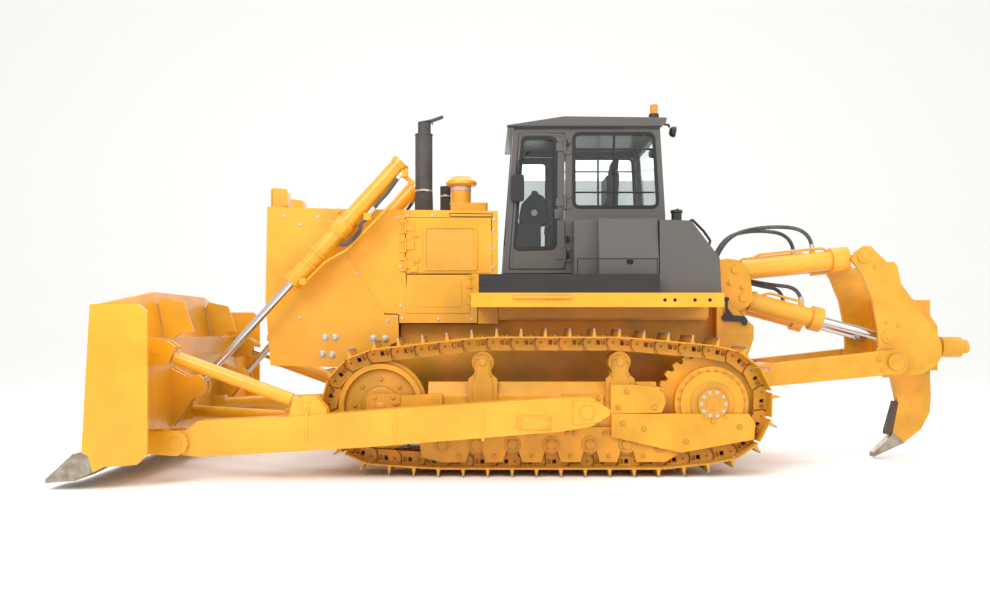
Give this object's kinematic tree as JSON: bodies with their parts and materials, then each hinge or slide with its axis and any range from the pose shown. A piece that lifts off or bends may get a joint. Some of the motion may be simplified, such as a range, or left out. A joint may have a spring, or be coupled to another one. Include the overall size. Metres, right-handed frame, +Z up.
{
  "type": "bulldozer",
  "caption": "Crawler bulldozer with a semi-U blade on push arms, an enclosed cab, and a parallelogram ripper with one shank.",
  "frame": {"origin": "on the ground under the centre of the bounding box", "axes": "+X forward to the blade, +Y to the machine's left, +Z up"},
  "size_m": [8.9599, 4.13, 3.667],
  "materials": {
    "machine_yellow": "gloss machine enamel",
    "dark_grey": "satin dark grey enamel",
    "bare_steel": "worn bare steel",
    "dark_steel": "dark cast steel",
    "chrome": "hard chrome",
    "glass": "clear cab glass",
    "seat_cloth": "dark vinyl and moulded plastic",
    "amber_lens": "moulded amber lens"
  },
  "bodies": {
    "tractor": {"main_frame": "machine_yellow", "radiator_guard": "machine_yellow", "radiator_door": "machine_yellow", "hood": "machine_yellow", "fender_decks": "machine_yellow", "lift_yokes": "machine_yellow", "ripper_mount": "machine_yellow", "track_frames": "machine_yellow", "track_loop_left": "machine_yellow", "track_loop_right": "machine_yellow", "sprockets": "machine_yellow", "idlers": "machine_yellow", "rollers": "machine_yellow", "lamps": "machine_yellow", "air_intakes": "machine_yellow", "side_strips": "dark_grey", "side_boxes": "dark_grey", "fuel_tank": "dark_grey", "cab_shell": "dark_grey", "cab_roof": "dark_grey", "exhaust_stack": "dark_grey", "engine_block": "dark_grey", "cab_glass": "glass", "cab_interior": "seat_cloth", "beacon": "amber_lens", "radiator_core": "dark_grey"},
    "blade_frame": {"blade": "machine_yellow", "cutting_edges": "bare_steel", "push_arms": "machine_yellow", "brace_strut": "machine_yellow", "blade_tilt_barrel": "machine_yellow", "blade_tilt_rod": "chrome", "diagonal_braces": "machine_yellow"},
    "lift_barrel_pair": {"lift_barrels": "machine_yellow"},
    "lift_rod_pair": {"lift_rods": "chrome"},
    "ripper_link_body": {"ripper_link": "machine_yellow"},
    "ripper_pin_body": {"ripper_pins": "machine_yellow"},
    "ripper_carrier": {"ripper_frame": "machine_yellow", "ripper_shank": "machine_yellow", "shank_point": "bare_steel", "shank_guard": "dark_steel"},
    "tilt_barrel_pair": {"ripper_tilt_barrels": "machine_yellow"},
    "tilt_rod_pair": {"ripper_tilt_rods": "chrome"},
    "raise_barrel_pair": {"ripper_raise_barrels": "machine_yellow"},
    "raise_rod_pair": {"ripper_raise_rods": "chrome"},
    "cab_door_left": {"cab_door_left": "dark_grey", "cab_door_glass_left": "glass"},
    "cab_door_right": {"cab_door_right": "dark_grey", "cab_door_glass_right": "glass"},
    "engine_door_left": {"engine_door_left": "machine_yellow"},
    "engine_door_right": {"engine_door_right": "machine_yellow"}
  },
  "joints": [
    {"name": "blade_lift", "type": "hinge", "parent": "tractor", "child": "blade_frame", "pos_m": [-0.23, 0, 0.633], "axis": [0, -1, 0], "range_deg": [-6.9, 18.9]},
    {"name": "lift_barrel_swing", "type": "hinge", "parent": "tractor", "child": "lift_barrel_pair", "pos_m": [2.108, 0, 2.389], "axis": [0, -1, 0], "range_deg": [-9, 24.6]},
    {"name": "lift_rod_slide", "type": "slide", "parent": "lift_barrel_pair", "child": "lift_rod_pair", "axis": [0.6731, 0, -0.7395], "range_m": [-0.935, 0.342]},
    {"name": "ripper_lift", "type": "hinge", "parent": "tractor", "child": "ripper_link_body", "pos_m": [-1.95, 0, 0.897], "axis": [0, 1, 0], "range_deg": [-30, 38]},
    {"name": "ripper_pin_turn", "type": "hinge", "parent": "ripper_link_body", "child": "ripper_pin_body", "pos_m": [-3.475, 0, 1.056], "axis": [0, 1, 0], "range_deg": [-38, 30]},
    {"name": "ripper_pitch", "type": "hinge", "parent": "ripper_pin_body", "child": "ripper_carrier", "pos_m": [-3.475, 0, 1.056], "axis": [0, -1, 0], "range_deg": [-2, 14]},
    {"name": "tilt_barrel_swing", "type": "hinge", "parent": "tractor", "child": "tilt_barrel_pair", "pos_m": [-1.868, 0, 2], "axis": [0, 1, 0], "range_deg": [-35, 44]},
    {"name": "tilt_rod_slide", "type": "slide", "parent": "tilt_barrel_pair", "child": "tilt_rod_pair", "axis": [-0.995, 0, 0.1001], "range_m": [-0.04, 0.272]},
    {"name": "raise_barrel_swing", "type": "hinge", "parent": "tractor", "child": "raise_barrel_pair", "pos_m": [-1.95, 0, 1.708], "axis": [0, 1, 0], "range_deg": [-29, 37]},
    {"name": "raise_rod_slide", "type": "slide", "parent": "raise_barrel_pair", "child": "raise_rod_pair", "axis": [-0.966, 0, -0.2587], "range_m": [-0.36, 0.29]},
    {"name": "cab_door_left_swing", "type": "hinge", "parent": "tractor", "child": "cab_door_left", "pos_m": [-0.105, 0.719, 2.67], "axis": [0, 0, 1], "range_deg": [0, 95]},
    {"name": "cab_door_right_swing", "type": "hinge", "parent": "tractor", "child": "cab_door_right", "pos_m": [-0.105, -0.719, 2.67], "axis": [0, 0, -1], "range_deg": [0, 95]},
    {"name": "engine_door_left_swing", "type": "hinge", "parent": "tractor", "child": "engine_door_left", "pos_m": [1.4965, 0.664, 2.23], "axis": [0, 0, -1], "range_deg": [0, 100]},
    {"name": "engine_door_right_swing", "type": "hinge", "parent": "tractor", "child": "engine_door_right", "pos_m": [1.4965, -0.664, 2.23], "axis": [0, 0, 1], "range_deg": [0, 100]}
  ],
  "couplings": [
    {"joint": "lift_barrel_swing", "follows": "blade_lift", "ratio": 1.3},
    {"joint": "lift_rod_slide", "follows": "blade_lift", "m_per_rad": -2.82},
    {"joint": "ripper_pin_turn", "follows": "ripper_lift", "ratio": -1},
    {"joint": "tilt_barrel_swing", "follows": "ripper_lift", "ratio": 1.15},
    {"joint": "tilt_rod_slide", "follows": "ripper_pitch", "m_per_rad": 1.1},
    {"joint": "raise_barrel_swing", "follows": "ripper_lift", "ratio": 0.95},
    {"joint": "raise_rod_slide", "follows": "ripper_lift", "m_per_rad": -0.53}
  ]
}
